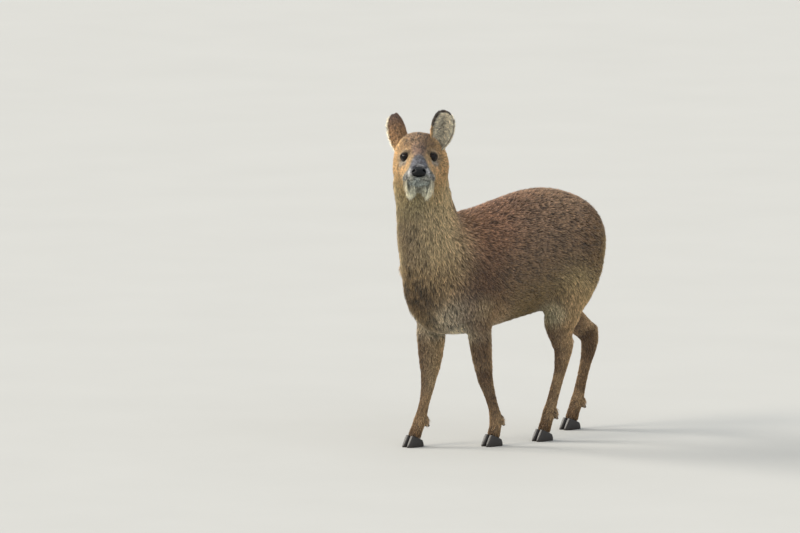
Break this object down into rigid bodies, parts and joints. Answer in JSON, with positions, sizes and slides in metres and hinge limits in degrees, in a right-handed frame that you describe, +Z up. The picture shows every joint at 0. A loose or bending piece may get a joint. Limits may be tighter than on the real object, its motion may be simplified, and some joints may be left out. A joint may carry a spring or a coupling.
{
  "type": "chinese water deer model",
  "caption": "Life-size still model of an adult Chinese water deer in its winter coat, standing with its head turned to its left.",
  "frame": {"origin": "on the floor, under the middle of the animal's bounding box", "axes": "+Z up, +X from the tail towards the chest, +Y to the animal's left"},
  "size_m": [0.6966, 0.2576, 0.7537],
  "materials": {
    "coat": "matt fur",
    "ear": "matt short fur",
    "eye": "wet and glossy",
    "nose": "moist bare skin",
    "hoof": "horn, satin"
  },
  "bodies": {
    "root": {"dewclaw_foreleg_left_inner": "hoof", "dewclaw_foreleg_left_outer": "hoof", "dewclaw_foreleg_right_inner": "hoof", "dewclaw_foreleg_right_outer": "hoof", "dewclaw_hindleg_left_inner": "hoof", "dewclaw_hindleg_left_outer": "hoof", "dewclaw_hindleg_right_inner": "hoof", "dewclaw_hindleg_right_outer": "hoof", "ear_left": "ear", "ear_right": "ear", "eye_left": "eye", "eye_right": "eye", "foreleg_left_lower": "coat", "foreleg_left_upper": "coat", "foreleg_right_lower": "coat", "foreleg_right_upper": "coat", "head": "coat", "hindleg_left_lower": "coat", "hindleg_left_upper": "coat", "hindleg_right_lower": "coat", "hindleg_right_upper": "coat", "hoof_foreleg_left_inner": "hoof", "hoof_foreleg_left_outer": "hoof", "hoof_foreleg_right_inner": "hoof", "hoof_foreleg_right_outer": "hoof", "hoof_hindleg_left_inner": "hoof", "hoof_hindleg_left_outer": "hoof", "hoof_hindleg_right_inner": "hoof", "hoof_hindleg_right_outer": "hoof", "neck": "coat", "nose": "nose", "tail": "coat", "torso": "coat"}
  },
  "joints": []
}
